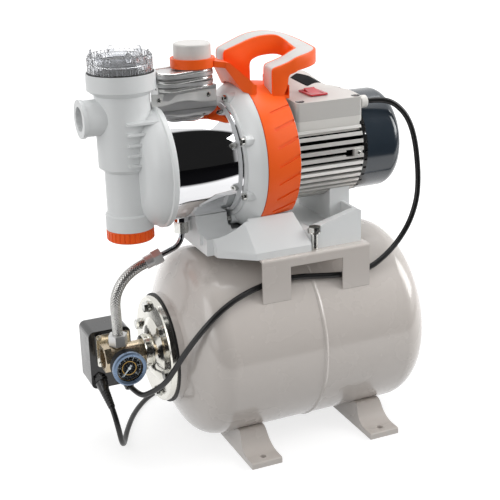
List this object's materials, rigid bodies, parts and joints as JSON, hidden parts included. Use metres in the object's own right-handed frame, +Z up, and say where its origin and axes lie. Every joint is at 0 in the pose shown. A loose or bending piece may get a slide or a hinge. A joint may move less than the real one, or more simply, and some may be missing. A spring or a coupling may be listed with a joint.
{
  "type": "booster pump set",
  "caption": "Booster pump set: a self-priming jet pump with a built-in filter on a horizontal membrane tank, with a pressure switch, a gauge and a braided hose.",
  "frame": {"origin": "on the floor, in the middle of the four holes of the feet", "axes": "+X along the tank from its flange to the fan end, +Y to the back, +Z up"},
  "size_m": [0.519, 0.4021, 0.5855],
  "materials": {
    "tank_paint": "glossy warm light grey powder coat",
    "zinc_plate": "bright zinc plating",
    "bolt_steel": "zinc plated fasteners",
    "stainless": "mirror polished stainless sheet",
    "tube_chrome": "bright chrome",
    "pump_plastic": "moulded cool light grey plastic",
    "box_plastic": "moulded pale grey plastic",
    "orange_plastic": "orange plastic",
    "pale_plastic": "off-white plastic",
    "white_plastic": "white plastic",
    "slate_plastic": "dark slate plastic",
    "black_plastic": "black plastic",
    "inner_plastic": "black moulded plastic inside the pump",
    "clear_plastic": "clear plastic",
    "red_plastic": "translucent red plastic",
    "aluminium": "bright die-cast aluminium",
    "brass": "machined brass",
    "braid_steel": "braided stainless wire",
    "lead_rubber": "black cable sheath",
    "seal_rubber": "black rubber",
    "shaft_steel": "ground steel",
    "copper": "copper windings on an iron core",
    "bezel_chrome": "bluish chrome",
    "dial_black": "black dial and case",
    "needle_white": "white painted needle"
  },
  "bodies": {
    "base": {"air_valve": "brass", "ball_bearings": "shaft_steel", "base_bolts": "bolt_steel", "box_gland": "black_plastic", "braided_hose": "braid_steel", "carrying_handle": "orange_plastic", "casing_screws": "bolt_steel", "chrome_tube": "tube_chrome", "counter_flange": "zinc_plate", "diffuser": "inner_plastic", "discharge_head": "aluminium", "end_shield": "aluminium", "fan_cover": "slate_plastic", "filter_cartridge": "inner_plastic", "five_way_fitting": "brass", "flange_bolts": "bolt_steel", "gauge_bezel": "bezel_chrome", "gauge_case": "dial_black", "gauge_glass": "clear_plastic", "handle_inlay": "pale_plastic", "hose_fittings": "bolt_steel", "jet_nozzle": "inner_plastic", "left_foot": "tank_paint", "lid_seal": "seal_rubber", "mains_coil": "lead_rubber", "mains_lead": "lead_rubber", "mains_plug": "black_plastic", "membrane": "seal_rubber", "motor_bracket": "pump_plastic", "motor_housing": "aluminium", "motor_lead": "lead_rubber", "pump_base": "pump_plastic", "pump_casing": "stainless", "pump_cover": "pump_plastic", "right_foot": "tank_paint", "rocker_bezel": "black_plastic", "saddle_bracket": "tank_paint", "shaft_seal": "seal_rubber", "stator": "copper", "switch_cover": "black_plastic", "switch_glands": "black_plastic", "switch_plate": "zinc_plate", "tank_left_half": "tank_paint", "tank_right_half": "tank_paint", "terminal_box": "box_plastic", "terminal_lid": "box_plastic", "tube_nut": "bolt_steel"},
    "rotor": {"motor_shaft": "shaft_steel", "impeller": "inner_plastic", "cooling_fan": "inner_plastic"},
    "filter_lid": {"filter_lid": "clear_plastic"},
    "filling_cap": {"filling_cap": "white_plastic"},
    "bottom_cap": {"bottom_cap": "orange_plastic"},
    "valve_cap": {"air_valve_cap": "black_plastic"},
    "rocker": {"rocker_switch": "red_plastic"},
    "needle": {"gauge_needle": "needle_white"},
    "poppet": {"valve_poppet": "inner_plastic"}
  },
  "joints": [
    {"name": "rotor_spin", "type": "hinge", "parent": "base", "child": "rotor", "pos_m": [0, 0, 0.422], "axis": [1, 0, 0], "continuous": true},
    {"name": "filter_lid_turn", "type": "hinge", "parent": "base", "child": "filter_lid", "pos_m": [-0.233, 0, 0.57], "axis": [0, 0, 1], "continuous": true},
    {"name": "filling_cap_turn", "type": "hinge", "parent": "base", "child": "filling_cap", "pos_m": [-0.131, 0, 0.565], "axis": [0, 0, 1], "continuous": true},
    {"name": "bottom_cap_turn", "type": "hinge", "parent": "base", "child": "bottom_cap", "pos_m": [-0.233, 0, 0.33], "axis": [0, 0, 1], "continuous": true},
    {"name": "valve_cap_turn", "type": "hinge", "parent": "base", "child": "valve_cap", "pos_m": [0.21, 0, 0.15], "axis": [1, 0, 0], "continuous": true},
    {"name": "rocker_tilt", "type": "hinge", "parent": "base", "child": "rocker", "pos_m": [0.042, -0.019, 0.49794], "axis": [1, 0, 0], "range_deg": [-16, 0]},
    {"name": "needle_swing", "type": "hinge", "parent": "base", "child": "needle", "pos_m": [-0.262, -0.049, 0.15], "axis": [0, 1, 0], "range_deg": [0, 270]},
    {"name": "poppet_lift", "type": "slide", "parent": "base", "child": "poppet", "axis": [0, 0, 1], "range_m": [0, 0.008], "stiffness_N_per_m": 60, "springref_m": -0.002}
  ]
}
